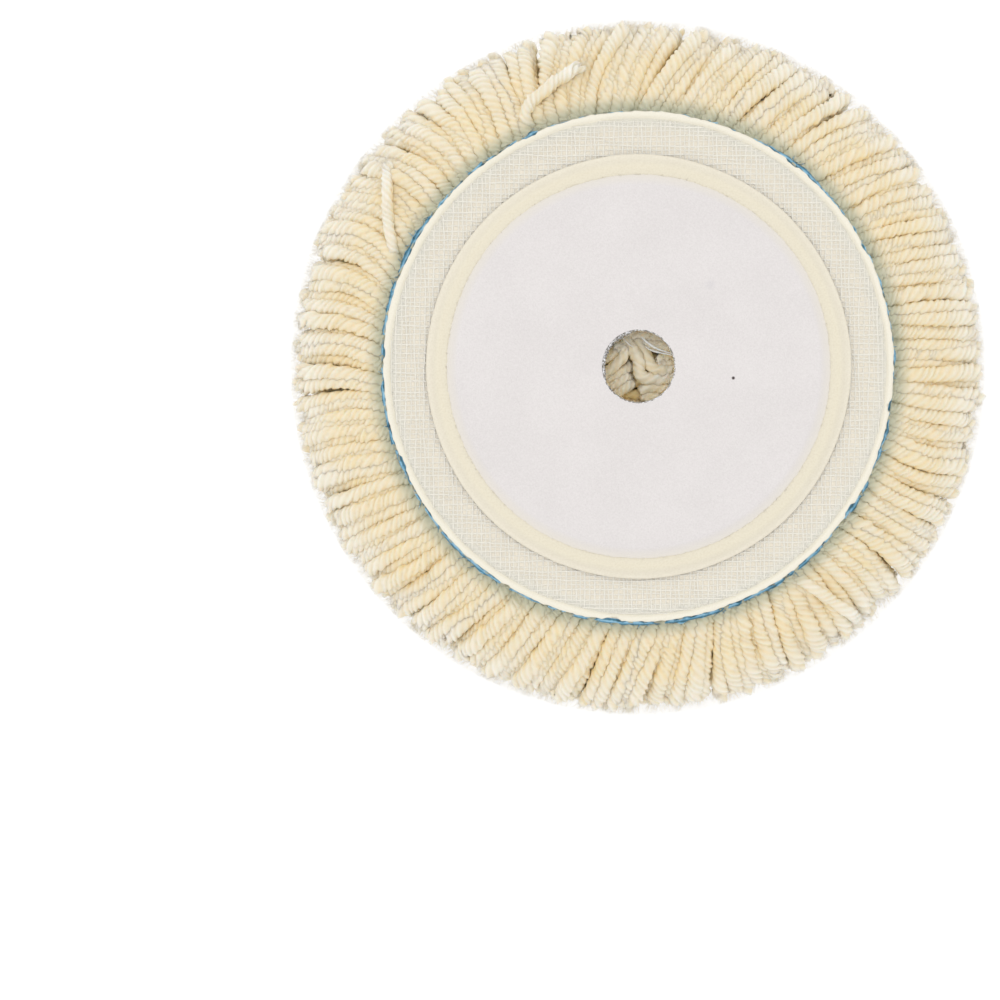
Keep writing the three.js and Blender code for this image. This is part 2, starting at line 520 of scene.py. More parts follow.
def ramped(tree, value, stops):
    """The colour at a value, from stops of (place, colour)."""
    ramp = tree.nodes.new("ShaderNodeValToRGB")
    elements = ramp.color_ramp.elements
    while len(elements) < len(stops):
        elements.new(0.5)
    for element, (place, colour) in zip(elements, stops):
        element.position = place
        element.color = (*colour, 1)
    give(tree, ramp.inputs["Fac"], value)
    return ramp.outputs["Color"]


def attribute_value(tree, name, output="Fac"):
    node = tree.nodes.new("ShaderNodeAttribute")
    node.attribute_name = name
    return node.outputs[output]


def place_value(tree):
    return tree.nodes.new("ShaderNodeTexCoord").outputs["Object"]


def noise_at(tree, source, scale, detail=3, stretch=None):
    """A noise over a vector, stretched by a mapping when one is given."""
    if stretch:
        mapping = tree.nodes.new("ShaderNodeMapping")
        mapping.inputs["Scale"].default_value = stretch
        tree.links.new(source, mapping.inputs["Vector"])
        source = mapping.outputs["Vector"]
    noise = tree.nodes.new("ShaderNodeTexNoise")
    give(tree, noise.inputs["Scale"], scale)
    give(tree, noise.inputs["Detail"], detail)
    give(tree, noise.inputs["Vector"], source)
    return noise.outputs["Fac"]


def dress(tree, colour, values, bump=None):
    """Joins a colour and a bump (height, strength, distance) to the shader."""
    shader = tree.nodes["Principled BSDF"]
    give(tree, shader.inputs["Base Color"], colour)
    for name, value in values.items():
        shader.inputs[name].default_value = value
    if bump:
        node = tree.nodes.new("ShaderNodeBump")
        for name, value in zip(("Height", "Strength", "Distance"), bump):
            give(tree, node.inputs[name], value)
        give(tree, shader.inputs["Normal"], node.outputs["Normal"])


def wool_material():
    material, tree = new_material("wool_yarn")
    fibre = attribute_value(tree, "fibre", "Vector")
    fine = noise_at(tree, fibre, 1, 2, (3.2, 3.2, 0.45))
    broad = noise_at(tree, fibre, 1, 1, (0.35, 0.35, 0.12))
    grain = calc(tree, "MULTIPLY_ADD", fine, 0.22, -0.11)
    level = calc(tree, "ADD", attribute_value(tree, "shade"), grain)
    tone = calc(tree, "MULTIPLY", attribute_value(tree, "tone"), 0.05)
    level = calc(tree, "ADD", level, tone)
    lift = calc(tree, "MULTIPLY_ADD", broad, 0.2, -0.1)
    level = calc(tree, "ADD", level, lift, clamp=True)
    # The stops run from the golden of painted shade, in creases and on deep yarns, through the
    # wool's own cream to the near white of painted light at the cut ends.
    stops = [
        (0.0, (0.80, 0.62, 0.32)), (0.18, (0.94, 0.755, 0.42)), (0.4, (0.905, 0.765, 0.50)),
        (0.64, (0.88, 0.805, 0.64)), (1.0, (0.94, 0.91, 0.83)),
    ]
    colour = ramped(tree, level, stops)
    colour = mixed(tree, attribute_value(tree, "shadow"), colour, (0.55, 0.55, 0.42))
    values = {
        "Roughness": 0.85, "Specular IOR Level": 0.1, "Subsurface Weight": 0.6,
        "Subsurface Radius": (0.75, 0.88, 1), "Subsurface Scale": 0.0012,
    }
    dress(tree, colour, values, (fine, 0.4, 0.0002))
    return material


def radius_value(tree):
    """The place on the object, and its distance from the pad's axis in millimetres."""
    place = place_value(tree)
    split = tree.nodes.new("ShaderNodeSeparateXYZ")
    give(tree, split.inputs[0], place)
    squares = [calc(tree, "MULTIPLY", side, side) for side in split.outputs[:2]]
    root = calc(tree, "SQRT", calc(tree, "ADD", *squares), 0)
    return place, calc(tree, "MULTIPLY", root, 1 / MM)


def scrim_material():
    """Pale thread with a fine grain."""
    material, tree = new_material("scrim_thread")
    place = place_value(tree)
    fine = noise_at(tree, place, 3000)
    broad = calc(tree, "MULTIPLY_ADD", noise_at(tree, place, 100, 2), 0.3, -0.15)
    level = calc(tree, "ADD", fine, broad)
    colour = ramped(tree, level, [(0.3, (0.92, 0.885, 0.79)), (0.7, (0.955, 0.93, 0.85))])
    values = {"Roughness": 0.4, "Sheen Weight": 0.2, "Specular IOR Level": 0.25}
    dress(tree, colour, values, (fine, 0.3, 0.0002))
    return material


def banded_material(name, stops, grain, rough, bump, coat=0.0):
    """A colour that changes with the distance from the axis, with a fine grain."""
    material, tree = new_material(name)
    place, radius = radius_value(tree)
    low, high = stops[0][0], stops[-1][0]
    share = calc(tree, "SUBTRACT", radius, low)
    share = calc(tree, "DIVIDE", share, high - low, clamp=True)
    speckle = noise_at(tree, place, grain)
    soft = noise_at(tree, place, grain / 12, 2)
    shift = calc(tree, "MULTIPLY_ADD", soft, 0.1, -0.05)
    stops = [((at - low) / (high - low), colour) for at, colour in stops]
    colour = ramped(tree, calc(tree, "ADD", share, shift, clamp=True), stops)
    speck = ramped(tree, speckle, [(0.25, (0.93, 0.92, 0.9)), (0.6, (1, 1, 1))])
    colour = mixed(tree, 1.0, colour, speck, "MULTIPLY")
    values = {"Roughness": rough, "Coat Weight": coat, "Coat Roughness": 0.15}
    dress(tree, colour, values, (speckle, bump, 0.0001))
    return material


def backing_material():
    """Blue flat tape, folded at its edge, with painted highlights along the folds and painted
    shade between them.
    """
    material, tree = new_material("woven_backing")
    place, radius = radius_value(tree)
    folds = noise_at(tree, place, 420, 1)
    warp = calc(tree, "MULTIPLY", folds, 5.5)
    rib = calc(tree, "SINE", calc(tree, "MULTIPLY_ADD", radius, 5.2, warp), 0)
    rib = calc(tree, "MULTIPLY", rib, 0.17)
    grain = calc(tree, "MULTIPLY", noise_at(tree, place, 1500), 0.3)
    level = calc(tree, "ADD", rib, grain)
    level = calc(tree, "ADD", level, calc(tree, "MULTIPLY", folds, 0.8))
    # Dark teal is painted shade, bright blue a painted highlight.
    stops = [
        (0.3, (0.03, 0.11, 0.15)), (0.45, (0.06, 0.22, 0.34)),
        (0.58, (0.13, 0.36, 0.56)), (0.75, (0.32, 0.60, 0.80)),
    ]
    dress(tree, ramped(tree, level, stops), {"Roughness": 0.4}, (level, 0.6, 0.0005))
    return material


def film_material(name, alpha):
    material, tree = new_material(name)
    scratch = noise_at(tree, place_value(tree), 500, 2)
    stops = [(0.3, (0.93, 0.95, 0.95)), (0.8, (0.99, 0.99, 0.99))]
    values = {"Alpha": alpha, "Roughness": 0.08}
    dress(tree, ramped(tree, scratch, stops), values, (scratch, 0.2, 0.0002))
    return material


def adhesive_material():
    """Clear set glue, glossy, with painted sparkle: dark painted reflections between bright
    painted glints.
    """
    material, tree = new_material("adhesive")
    speckle = noise_at(tree, place_value(tree), 1500)
    # Near black painted reflections up to bright painted glints.
    stops = [
        (0.36, (0.10, 0.09, 0.08)), (0.45, (0.42, 0.40, 0.36)),
        (0.52, (0.66, 0.66, 0.68)), (0.62, (0.93, 0.94, 0.97)),
    ]
    dress(tree, ramped(tree, speckle, stops), {"Roughness": 0.18}, (speckle, 0.8, 0.0003))
    return material


def floor_material():
    material, tree = new_material("floor")
    grain = noise_at(tree, place_value(tree), 40, 2)
    stops = [(0.3, (0.30, 0.30, 0.30)), (0.7, (0.32, 0.32, 0.32))]
    values = {
        "Emission Color": (1, 1, 1, 1), "Emission Strength": 0.78, "Roughness": 0.9,
    }
    dress(tree, ramped(tree, grain, stops), values)
    return material


def spot_value(tree, place, x, y, radius, soft):
    """One at a point of the disc's face and nought outside its radius, in mm."""
    away = tree.nodes.new("ShaderNodeVectorMath")
    away.operation = "DISTANCE"
    give(tree, away.inputs[0], place)
    away.inputs[1].default_value = (x * MM, y * MM, LOOP_TOP * MM)
    share = calc(tree, "DIVIDE", away.outputs["Value"], radius * MM)
    fall = calc(tree, "SUBTRACT", 1, share)
    return calc(tree, "MULTIPLY", fall, 1 / soft, clamp=True)


def loop_material():
    """Brushed loop nap, creamier at its thin edge, with the marks the disc carries."""
    material, tree = new_material("loop_fabric")
    place, radius = radius_value(tree)
    fine = noise_at(tree, place, 2200)
    broad = calc(tree, "MULTIPLY_ADD", noise_at(tree, place, 70, 2), 0.4, -0.2)
    level = calc(tree, "ADD", fine, broad)
    colour = ramped(tree, level, [(0.3, (0.765, 0.735, 0.735)), (0.7, (0.83, 0.80, 0.80))])
    edge = calc(tree, "SUBTRACT", radius, LOOP_RADIUS - 2.6)
    edge = calc(tree, "ADD", edge, calc(tree, "MULTIPLY", fine, 0.9))
    edge = calc(tree, "MULTIPLY", edge, 0.33, clamp=True)
    colour = mixed(tree, edge, colour, (0.825, 0.785, 0.72))
    mark = calc(tree, "MULTIPLY", spot_value(tree, place, 21.5, 24.5, 2.2, 1), 0.16)
    colour = mixed(tree, mark, colour, (0.42, 0.42, 0.5))
    speck = spot_value(tree, place, 28.4, -3.5, 0.62, 0.5)
    colour = mixed(tree, speck, colour, (0.08, 0.06, 0.06))
    values = {"Roughness": 0.95, "Sheen Weight": 0.2, "Specular IOR Level": 0.2}
    dress(tree, colour, values, (fine, 0.5, 0.0002))
    return material


# Pile.

WOOL = wool_material()


def wool_piece(name, arrays, *rows):
    piece = arrays_mesh(name, arrays, WOOL, "shade", "tone", "shadow", "fibre")
    bind(piece, "wool_yarn", *rows)


HIDDEN_SHARES = np.concatenate([np.linspace(0, 0.52, 6)[:-1], np.linspace(0.52, 1, 15)])
SIDE_SHARES = np.concatenate([np.linspace(0, 0.4, 7)[:-1], np.linspace(0.4, 1, 24)])
FRINGE_SHARES = np.linspace(0, 1, 42)
CENTRE_SHARES = np.linspace(0, 1, 30)

# Yarn lines that stray fibres grow from, with their radii and amount.
FUZZ_LINES = []


def row_arrays(row, leg):
    rng = seeded(100 * row + leg)
    lines = row_lines(rng, row, leg)
    count = len(lines)
    if row == ROW_COUNT:
        radius = rng.uniform(2.05, 2.5, count)
        FUZZ_LINES.append((lines, radius, 1.0 if leg else 0.6))
        # The lower leg gets a little painted shade.
        deep = 0.0 if leg else 0.05
        return yarn_arrays(rng, lines, radius, 16, FRINGE_SHARES, 0.0, 1.16, 0.0, deep)
    radius = rng.uniform(1.9, 2.35, count)
    FUZZ_LINES.append((lines, radius, 0.14))
    if row > ROW_COUNT - 4:
        return yarn_arrays(rng, lines, radius, 12, SIDE_SHARES, 0.4, 1.2, 0.2)
    return yarn_arrays(rng, lines, radius, 12, HIDDEN_SHARES, 0.52, 1.3, 0.2)


# The wool that closes the centring hole: short curled yarns, as (x, y, z)
# points seen from the back, each with its radius.
CENTRE_YARNS = [
    (1.75, [(-4.4, 8.2, 27), (-2.4, 6.0, 27.6), (-0.6, 4.2, 28.2), (0.6, 2.0, 28.6),
        (0.2, -0.4, 28.7), (0.2, -2.4, 28.4), (1.9, -3.6, 28.0), (4.4, -3.9, 27.5),
        (7.4, -3.6, 27.0), (11.5, -2.4, 26.5)]),
    (1.6, [(-0.6, 8.2, 26.6), (1.8, 4.9, 27.4), (3.1, 2.0, 27.9), (4.2, -0.3, 28.0),
        (6.4, -1.5, 27.7), (11.6, -0.6, 26.6)]),
    (1.45, [(-11.6, -3.6, 26.5), (-9.6, -1.8, 27.2), (-7.2, 0.4, 27.9), (-4.9, 2.4, 28.3),
        (-3.7, 4.2, 28.3), (-4.4, 5.8, 28.0), (-6.4, 6.0, 27.4), (-7.8, 4.6, 26.6)]),
    (1.4, [(-11.8, 1.4, 26.4), (-9.4, 2.6, 27.2), (-7.2, 4.0, 27.6), (-6.2, 6.4, 27.2),
        (-7.4, 9.2, 26.4)]),
    (1.6, [(-11.6, -5.2, 25.4), (-8.6, -3.6, 26.2), (-5.9, -2.0, 26.3), (-3.6, -0.6, 25.4),
        (-2.0, 0.8, 23.6)]),
    (1.5, [(-10.6, -7.6, 25.6), (-8.0, -5.9, 26.6), (-5.6, -4.6, 27.0), (-3.6, -3.2, 26.4),
        (-2.2, -2.2, 24.6)]),
    (1.5, [(-8.4, -10.2, 25.6), (-6.2, -8.0, 26.6), (-4.4, -6.6, 26.8), (-2.7, -5.4, 26.0),
        (-1.4, -4.6, 24.0)]),
    (1.6, [(11.2, -7.2, 25.6), (8.2, -6.6, 26.6), (5.2, -6.2, 27.0), (2.6, -6.4, 26.6),
        (0.9, -7.6, 25.2)]),
    (1.5, [(7.6, -11.0, 25.4), (5.8, -9.0, 26.2), (3.4, -8.6, 26.2), (1.4, -9.8, 25.0)]),
    (1.3, [(11.8, 3.6, 26.4), (9.0, 3.2, 27.4), (6.6, 2.2, 27.9), (4.9, 2.9, 27.6)]),
    (1.3, [(12.0, 0.6, 26.2), (9.6, 1.0, 27.2), (7.4, 1.6, 27.5), (5.4, 0.8, 26.8)]),
    (1.6, [(11.0, 5.6, 25.8), (8.6, 6.0, 26.6), (5.4, 6.6, 27.0), (2.0, 7.2, 26.8),
        (-1.8, 7.2, 26.0)]),
    (1.6, [(9.0, 8.6, 25.6), (6.0, 8.4, 26.4), (2.2, 9.2, 26.6), (-2.4, 9.4, 26.2),
        (-6.0, 8.6, 25.6)]),
]


def spline_points(corners, count, passes, wide=True):
    """A smooth line through a few corners, ends kept."""
    along = np.linspace(0, 1, len(corners))
    at = np.linspace(0, 1, count)
    line = np.stack([np.interp(at, along, axis) for axis in corners.T], axis=1)
    for _ in range(passes):
        line[1:-1] = (line[:-2] + 2 * line[1:-1] + line[2:]) / 4
        if wide:
            line[2:-2] = (line[:-4] + 2 * line[2:-2] + line[4:]) / 4
    return line


def centre_bed(rng):
    """Yarns that cross under the hole, behind the curled ones."""
    offsets = np.arange(-10.5, 11, 2.6)[:, None]
    across = np.linspace(-13, 13, 20)
    side = offsets + 0.5 * np.sin(across * 0.4 + offsets)
    height = 22.6 + 0.9 * np.sin(across * 0.35 + 2 * offsets)
    lines = packed(across, side, height)
    radius = rng.uniform(1.6, 1.9, len(lines))
    # The bed deep under the hole gets painted shade.
    return yarn_arrays(rng, lines, radius, 12, CENTRE_SHARES, 0.3, 1.0, 0.0, 0.3)


def centre_arrays():
    rng = seeded(11)
    parts = [centre_bed(rng)]
    for radius, corners in CENTRE_YARNS:
        line = spline_points(np.array(corners, float), 41, 3)[None]
        size = np.array([radius * 1.2])
        # The curled centre yarns get a little painted light.
        parts.append(yarn_arrays(rng, line, size, 16, CENTRE_SHARES, 0.3, 1.05, 0.2, -0.06))
    return parts


for row in range(1, ROW_COUNT):
    node = f"pile_row_{row:02d}"
    parts = [row_arrays(row, 0), row_arrays(row, 1)]
    if row == 1:
        parts += centre_arrays()
    wool_piece(f"{node}_yarn", joined(parts), node)

LAST_ROW = f"pile_row_{ROW_COUNT:02d}"
wool_piece("fringe_lower_yarn", row_arrays(ROW_COUNT, 0), LAST_ROW)
wool_piece("fringe_upper_yarn", row_arrays(ROW_COUNT, 1), LAST_ROW)


def fibre_arrays(rng, starts, directions, lengths, thick, droop, tone):
    """Single stray fibres: thin three-sided tubes, each bent a little."""
    count = len(starts)
    at = np.linspace(0, 1, 3)[None, :, None]
    bend = rng.normal(0, 0.35, (count, 1, 3)) - np.array([0, 0, droop])
    lines = (
        starts[:, None]
        + directions[:, None] * lengths[:, None, None] * at
        + bend * lengths[:, None, None] * at**2
    )
    tangents, _ = lines_along(lines)
    sideways = np.cross(tangents, np.array([0.3, 0.2, 1.0]))
    radii = thick * np.array([1, 0.8, 0.4])[None] * np.ones((count, 1))
    flat, quads, triangles = line_tubes(lines, sideways, radii, np.ones((1, 1, FIBRE_SIDES)))
    flat[:, 2] = np.maximum(flat[:, 2], FLOOR_GAP)
    reach = np.hypot(flat[:, 0], flat[:, 1])
    held = np.minimum(reach, FIBRE_REACH + 0.15 * (reach - FIBRE_REACH))
    flat[:, :2] *= (held / reach)[:, None]
    none = np.zeros(len(flat))
    return {
        "points": flat, "quads": quads, "triangles": triangles,
        "fibre": flat * 0.5, "shade": none + tone, "tone": none, "shadow": none,
    }


def yarn_fuzz(rng, lines, radius, amount):
    """Stray fibres on yarns: some along their sides and a tuft at each cut end."""
    count = len(lines)
    side_total = int(SIDE_FIBRES * amount * count)
    tuft_total = int(TUFT_FIBRES * amount * count)
    tangents, _ = lines_along(lines)
    samples = lines.shape[1]
    yarn = rng.integers(0, count, side_total)
    place = rng.integers(int(samples * 0.45), samples - 2, side_total)
    tangent = tangents[yarn, place]
    outward = rng.standard_normal((side_total, 3)) + np.array([0, 0, 0.7])
    outward -= tangent * (outward * tangent).sum(1, keepdims=True)
    outward /= np.linalg.norm(outward, axis=1, keepdims=True)
    starts = lines[yarn, place] + outward * radius[yarn, None] * 0.88
    across = np.cross(outward, tangent)
    direction = 0.85 * tangent + 0.5 * across + 0.12 * outward
    direction *= np.where(rng.random((side_total, 1)) < 0.3, -1, 1)
    direction += 0.25 * rng.standard_normal((side_total, 3))
    lengths = rng.uniform(0.7, 1.8, side_total)
    sides = fibre_arrays(rng, starts, direction, lengths, 0.035, 0.0, 0.8)
    yarn = rng.integers(0, count, tuft_total)
    tangent = tangents[yarn, -1]
    spread = 0.36 * rng.standard_normal((tuft_total, 3))
    starts = lines[yarn, -1] - tangent * 1.5 + spread * radius[yarn, None] * 1.5
    lengths = rng.uniform(0.9, 2.8, tuft_total)
    tufts = fibre_arrays(rng, starts, tangent + spread, lengths, 0.04, 0.05, 0.84)
    return [sides, tufts]


# Loose yarns that lie over the fringe: radius, then (r, degrees, z) points.
LOOSE_YARNS = [
    (1.8, [(79.5, 156.4, 28.4), (81.7, 154.4, 29.6), (86.3, 150.7, 29.5), (91.8, 145.5, 27.6),
        (97.6, 140.7, 24.2)]),
    (1.95, [(78.8, 114.0, 28.2), (81.0, 114.5, 29.6), (84.1, 114.3, 30.2), (86.3, 111.5, 29.9),
        (88.3, 108.1, 29.2), (90.4, 104.6, 28.4), (92.0, 101.0, 27.4)]),
    (1.8, [(78.4, -53.4, 28.6), (83.0, -52.0, 29.8), (90.0, -50.6, 28.4), (97.0, -49.4, 25.0),
        (101.0, -48.8, 21.4)]),
]


def loose_arrays():
    rng = seeded(12)
    parts = []
    for radius, corners in LOOSE_YARNS:
        r, degrees, z = np.array(corners, float).T
        line = spline_points(polar(r, np.radians(degrees), z), 41, 3)[None]
        size = np.array([radius])
        FUZZ_LINES.append((line, size, 1.0))
        shares = np.linspace(0, 1, 36)
        # The loose yarns on top get painted light.
        parts.append(yarn_arrays(rng, line, size, 16, shares, 0.0, 1.0, 0.2, -0.16))
    return joined(parts)


wool_piece("fringe_loose_yarns", loose_arrays(), LAST_ROW)

fuzz_rng = seeded(5)
fuzz = []
for lines, radius, amount in FUZZ_LINES:
    fuzz += yarn_fuzz(fuzz_rng, lines, radius, amount)
wool_piece("fringe_stray_fibres", joined(fuzz), LAST_ROW)


# Backing layers.


def turned_piece(name, rings, material):
    """A closed solid of revolution: rings are a closed loop of rings of points."""
    quads = ring_quads(*rings.shape[:2], closed=True)
    return add_mesh(name, rings.reshape(-1, 3), quads, np.zeros((0, 3), int), material)


def washer_rings(profile, edge, lift=lambda r, z: 0):
    """Rings of a turned profile. edge(r) moves its radii and lift(r, z) its heights."""
    return np.array([polar(r + edge(r), ANGLES, z + lift(r, z)) for r, z in profile])


def spaced(start, end, step):
    return np.linspace(start, end, max(2, round(abs(end - start) / step) + 1))


def run(z, *span):
    """Points of a flat stretch of a profile."""
    return [(r, z) for r in spaced(*span)]


def washer_profile(inner, outer, low, top, step, bevel):
    """A washer's section, from its underside round its edge and back over the top."""
    under = run(low, inner, outer - bevel, 4 * step)
    rim = [
        (outer - bevel + bevel * math.cos(a), (low + top) / 2 + (top - low) / 2 * math.sin(a))
        for a in np.radians([-60, -30, 0, 30, 60])
    ]
    over = run(top, outer - bevel, inner, step)
    return under + rim + over


shape_rng = seeded(7)


# How far the blue backing shows past the rim, in mm, for angles round the pad.
BACKING_SHOWS = np.array([
    (-90, 1.0), (-76, 1.3), (-68, 0.9), (-58, 1.2), (-47, 1.1), (-41, 0.6), (-36, 0.5),
    (-33, 1.1), (-27, 0.9), (-23, 0.2), (-19, 0.8), (-14, 1.0), (-11, 0.1), (-2, 0.2),
    (4, 0.6), (12, 0.2), (17, 0.6), (24, 0.4), (31, 0.4), (38, 0.45), (45, 0.6),
    (52, 1.2), (60, 0.4), (67, 0.1), (80, 0.1), (95, 0.1), (108, 0.2), (114, 0.8),
    (119, 0.4), (124, 0.2), (128, 0.8), (135, 0.5), (142, 0.5), (148, 1.3), (154, 1.3),
    (160, 0.9), (168, 1.1), (180, 0.6), (195, 1.0), (210, 0.4), (228, 1.1), (245, 0.5),
], float)


def add_backing():
    shows = around(ANGLES, BACKING_SHOWS) + ripple(shape_rng, (31, 47, 61, 83), 0.28)
    shows = shows + ripple(shape_rng, (109, 137, 163), 0.16)
    shows = np.clip(shows - 0.3, -0.3, 1.7)
    edge_up = ripple(shape_rng, (23, 37, 53, 71, 97), 0.7)

    def edge(r):
        return smooth((r - 73) / 4) * shows

    def lift(r, _):
        return smooth((r - 75.5) / 1.5) * (edge_up - 0.2)

    profile = washer_profile(HOLE_RADIUS, BACKING_RADIUS, BACKING_LOW, BACKING_TOP - 0.2, 1, 0.3)
    rings = washer_rings(profile, edge, lift)
    piece = turned_piece("woven_backing_cloth", rings, backing_material())
    bind(piece, "woven_backing", "primary_backing")
    return piece


def latex_top(r):
    """The latex rises a little where it swells up to its rim."""
    return SCRIM_LOW + 0.75 * smooth((r - 69) / 5.5)


def add_latex():
    outer = ripple(shape_rng, (5, 13, 23, 37), 0.2)
    outer = outer + ripple(shape_rng, (71, 103, 139, 181), 0.17)
    nicks = ripple(shape_rng, (17, 29, 41), 1.0)
    outer = outer - 0.6 * smooth((nicks - 0.9) / 0.2)
    inner = ripple(shape_rng, (4, 9, 21, 33), 0.2)
    top = ripple(shape_rng, (15, 27, 45, 67), 0.08)

    def edge(r):
        return smooth((r - 76) / 0.8) * outer + (74 < r < 76) * inner

    def lift(r, z):
        return (r > SCRIM_RADIUS) * (z > SCRIM_LOW) * top

    rim_in = SCRIM_RADIUS + 0.1
    rim_out = LATEX_RADIUS + 0.2
    profile = run(LATEX_LOW, HOLE_RADIUS, rim_out - 0.4, 6)
    profile += [
        (rim_out, LATEX_LOW + 0.2), (rim_out, RIM_TOP - 0.2), (rim_out - 0.04, RIM_TOP - 0.06),
        (rim_out - 0.12, RIM_TOP), (rim_out - 0.7, RIM_TOP), (rim_in + 0.3, RIM_TOP - 0.04),
        (rim_in + 0.05, RIM_TOP - 0.14), (rim_in - 0.3, RIM_TOP - 0.42),
    ]
    profile += [(r, latex_top(r)) for r in spaced(rim_in - 0.7, 68, 0.6)]
    profile += run(SCRIM_LOW, 66, HOLE_RADIUS, 3)
    stops = [
        (60.0, (0.93, 0.86, 0.72)), (71.0, (0.905, 0.84, 0.705)), (73.6, (0.82, 0.805, 0.72)),
        (74.8, (0.90, 0.86, 0.73)), (78.0, (0.92, 0.885, 0.78)),
    ]
    material = banded_material("latex", stops, 2600, 0.35, 0.3, 0.2)
    piece = turned_piece("latex_coat_layer", washer_rings(profile, edge, lift), material)
    bind(piece, "latex", "latex_coat")


SCRIM_PITCH = 1.42


def add_scrim():
    """An open gauze: threads woven over and under each other, both ways."""
    reach = SCRIM_RADIUS - 0.1
    places = np.arange(-reach + 0.6, reach - 0.5, SCRIM_PITCH)
    parts = []
    for way in (0, 1):
        for index, place in enumerate(places):
            half = math.sqrt(max(0.0, reach**2 - place**2))
            hole = math.sqrt(max(0.0, HOLE_RADIUS**2 - place**2))
            spans = [(-half, -hole), (hole, half)] if hole else [(-half, half)]
            for low, high in spans:
                if high - low >= 2 * SCRIM_PITCH:
                    parts.append(thread(way, index, place, low, high))
    piece = add_mesh("scrim_gauze", *stacked(parts), scrim_material())
    bind(piece, "scrim_thread", "scrim")


def thread(way, index, place, low, high):
    """One gauze thread along x or y, waved over and under the crossing threads."""
    at = np.arange(math.ceil(low / SCRIM_PITCH), math.floor(high / SCRIM_PITCH) + 1) * SCRIM_PITCH
    crossing = np.round(at / SCRIM_PITCH).astype(int)
    visible = np.hypot(at, place) > INTERFACE_RADIUS - 4
    visible[[0, -1]] = True
    keep = visible | (crossing % 6 == 0)
    at, crossing = at[keep], crossing[keep]
    over = np.where((crossing + index + way) % 2 == 0, 1.0, -1.0) * 0.09
    drift = 0.22 * np.sin(place * 0.9 + at * 0.11 + way)
    drift = drift + 0.12 * np.sin(at * 0.37 + index * 1.7)
    thick = 1.0 if index % 2 else 0.72
    swell = latex_top(np.hypot(at, place)) - SCRIM_LOW
    height = SCRIM_LOW + 0.2 + over + swell
    line = packed(at, place + drift, height)
    if way:
        line = line[:, [1, 0, 2]]
    lines = line[None]
    sideways = np.array([[[1.0, 0, 0] if way else [0, 1.0, 0]]])
    angles = np.arange(6) * TURN / 6
    profile = 1 / np.sqrt(np.cos(angles) ** 2 + (np.sin(angles) / 0.6) ** 2)
    radii = np.full((1, len(at)), 0.28 * thick)
    return line_tubes(lines, sideways, radii, profile)


def add_interface():
    bow = ripple(shape_rng, (2, 3, 5, 8), 0.12)

    def edge(r):
        return smooth((r - 57) / 6) * bow

    low, top = INTERFACE_LOW, INTERFACE_TOP
    profile = run(low, HOLE_RADIUS, INTERFACE_RADIUS - 0.2, 6)
    land = low + 0.42
    profile += [(INTERFACE_RADIUS, low + 0.1), (INTERFACE_RADIUS, land - 0.3)]
    profile += [(INTERFACE_RADIUS - 0.15, land - 0.08), (INTERFACE_RADIUS - 0.45, land + 0.1)]
    for share in np.linspace(0.1, 1, 10):
        r = INTERFACE_RADIUS - 0.45 - 3.2 * share
        profile.append((r, land + 0.1 + (top - land - 0.1) * smooth(0.1 + 0.9 * share)))
    profile += run(top, INTERFACE_RADIUS - 4.2, HOLE_RADIUS, 3)
    stops = [
        (57.0, (0.835, 0.785, 0.65)), (60.2, (0.855, 0.80, 0.65)),
        (61.8, (0.86, 0.81, 0.68)), (63.2, (0.895, 0.845, 0.72)),
    ]
    material = banded_material("interface_foam", stops, 1800, 0.75, 0.25)
    piece = turned_piece("interface_foam_disc", washer_rings(profile, edge), material)
    bind(piece, "interface_foam", "interface_disc")


def add_loop():
    fine = ripple(shape_rng, (33, 57, 91, 143, 187), 0.12)
    slow = ripple(shape_rng, (2, 3, 7), 0.15)

    def edge(r):
        return smooth((r - 50) / 7) * slow + smooth((r - 56) / 1.4) * fine

    profile = run(LOOP_LOW, HOLE_RADIUS, ADHESIVE_RADIUS + 0.05, 6)
    edge_low = INTERFACE_TOP + 0.01
    profile += [(ADHESIVE_RADIUS + 0.15, edge_low), (LOOP_RADIUS - 0.06, edge_low)]
    profile += [(LOOP_RADIUS, edge_low + 0.06), (LOOP_RADIUS - 0.02, edge_low + 0.14)]
    for share in np.linspace(0.03, 1, 14):
        height = edge_low + 0.18 + (LOOP_TOP - edge_low - 0.18) * smooth(share)
        profile.append((LOOP_RADIUS - 3.6 * share, height))
    profile += run(LOOP_TOP, LOOP_RADIUS - 4.4, HOLE_RADIUS, 1)
    piece = turned_piece("loop_fabric_disc", washer_rings(profile, edge), loop_material())
    piece.data.shade_flat()
    bind(piece, "loop_fabric", "loop_disc")
    return piece


# Where the film isn't loose, its edge lies just back from the hole, in mm.
FILM_HOLE = 11.4


def film_inner_edge(angles):
    """The radius of the film's loose inner edge, which hangs into the hole."""
    table = np.array(
        [(12, 11.4), (20, 10.2), (28, 8.6), (38, 7.2), (50, 6.1), (66, 5.6), (80, 5.6),
         (95, 6.1), (108, 6.9), (118, 8.4), (126, 10.4), (132, 11.4)],
        float,
    )
    degrees = np.degrees(angles) % 360
    return np.interp(degrees, table[:, 0], table[:, 1], FILM_HOLE, FILM_HOLE)


